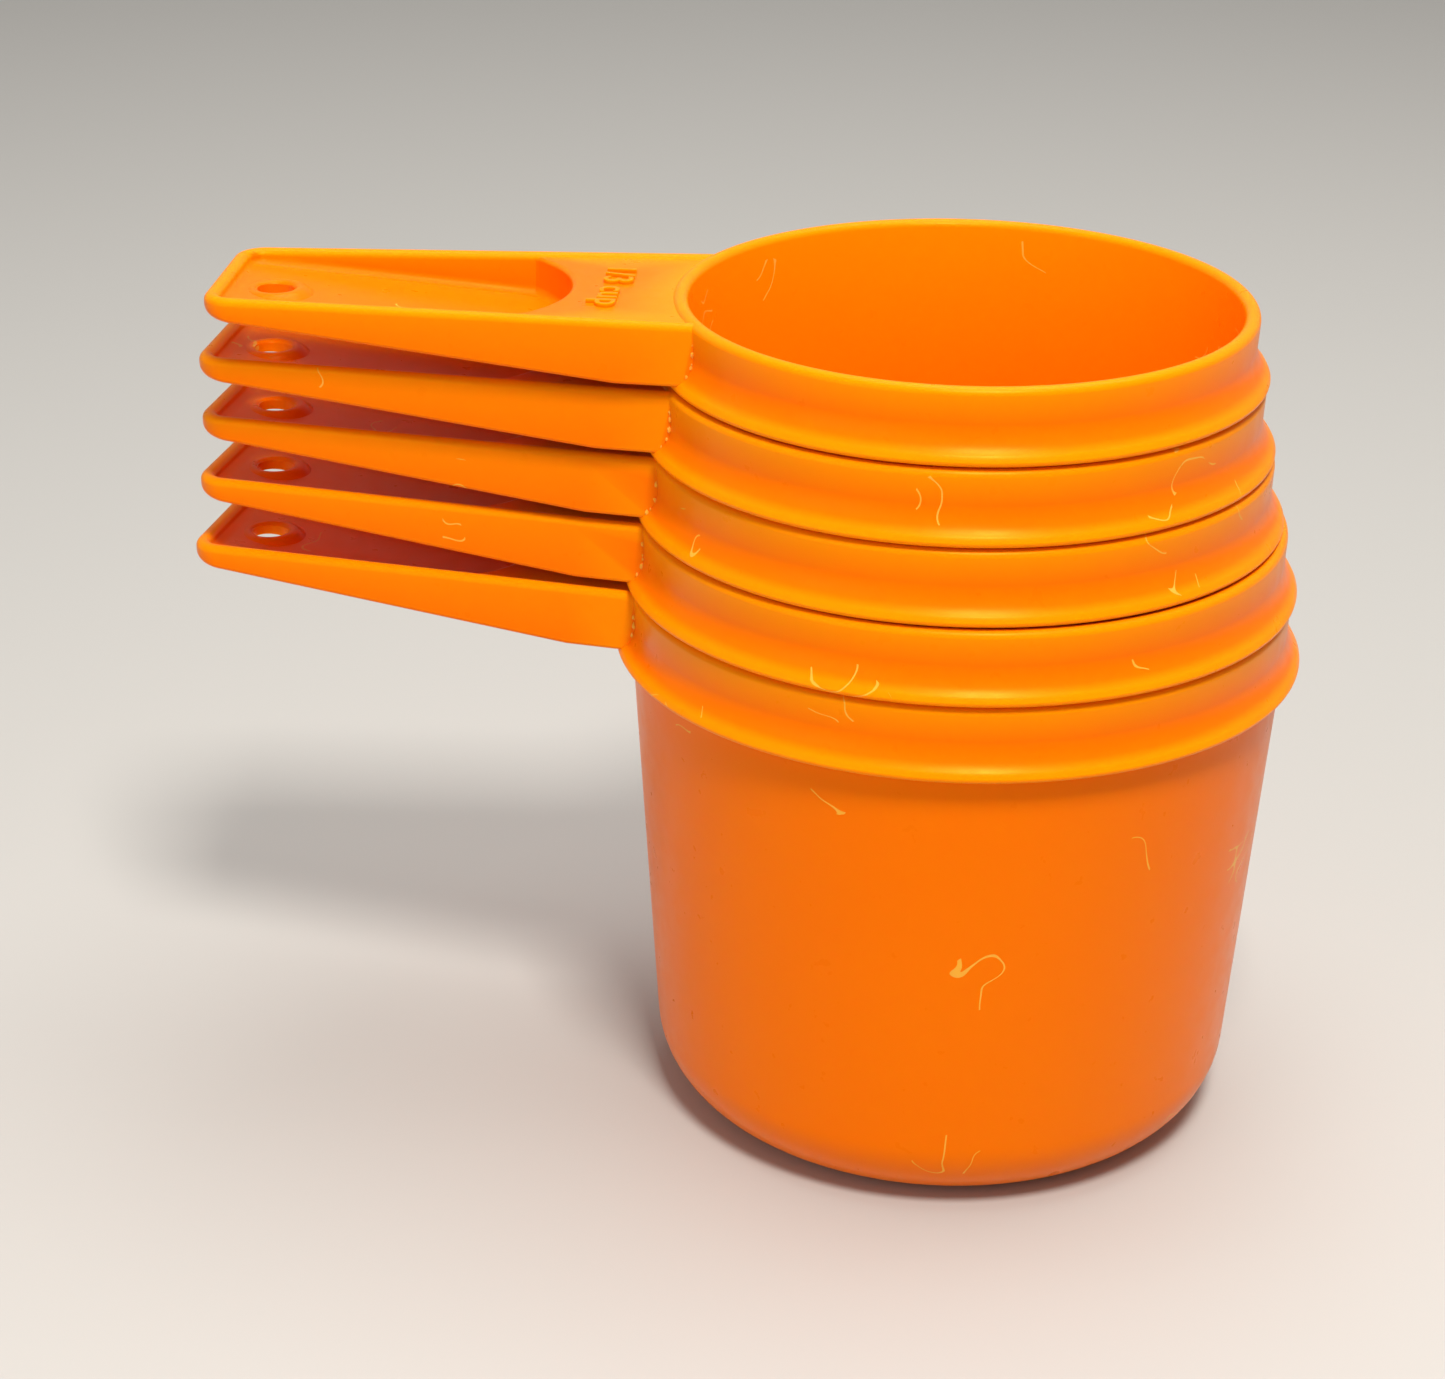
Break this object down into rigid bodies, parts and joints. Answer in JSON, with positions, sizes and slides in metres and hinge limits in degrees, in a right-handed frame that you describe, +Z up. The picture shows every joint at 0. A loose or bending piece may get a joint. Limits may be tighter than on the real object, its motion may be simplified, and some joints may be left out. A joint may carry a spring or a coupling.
{
  "type": "measuring cup set",
  "caption": "Nesting set of round, flat-handled plastic cups for measuring dry ingredients; each one lifts out of the next.",
  "frame": {"origin": "centre of the largest cup's base, on the surface that the set stands on", "axes": "+Z up along the cups' common axis; the handles point along -X"},
  "size_m": [0.1308, 0.08, 0.0996],
  "materials": {
    "orange_plastic": "satin gloss, moulded, slightly translucent at the rims"
  },
  "bodies": {
    "one_cup": {"cup_one": "orange_plastic"},
    "three_quarter_cup": {"cup_three_quarters": "orange_plastic"},
    "two_thirds_cup": {"cup_two_thirds": "orange_plastic"},
    "half_cup": {"cup_half": "orange_plastic"},
    "third_cup": {"cup_third": "orange_plastic"}
  },
  "joints": [
    {"name": "three_quarter_cup_lift", "type": "slide", "parent": "one_cup", "child": "three_quarter_cup", "axis": [0, 0, 1], "range_m": [0, 0.052]},
    {"name": "two_thirds_cup_lift", "type": "slide", "parent": "three_quarter_cup", "child": "two_thirds_cup", "axis": [0, 0, 1], "range_m": [0, 0.052]},
    {"name": "half_cup_lift", "type": "slide", "parent": "two_thirds_cup", "child": "half_cup", "axis": [0, 0, 1], "range_m": [0, 0.042]},
    {"name": "third_cup_lift", "type": "slide", "parent": "half_cup", "child": "third_cup", "axis": [0, 0, 1], "range_m": [0, 0.032]}
  ]
}
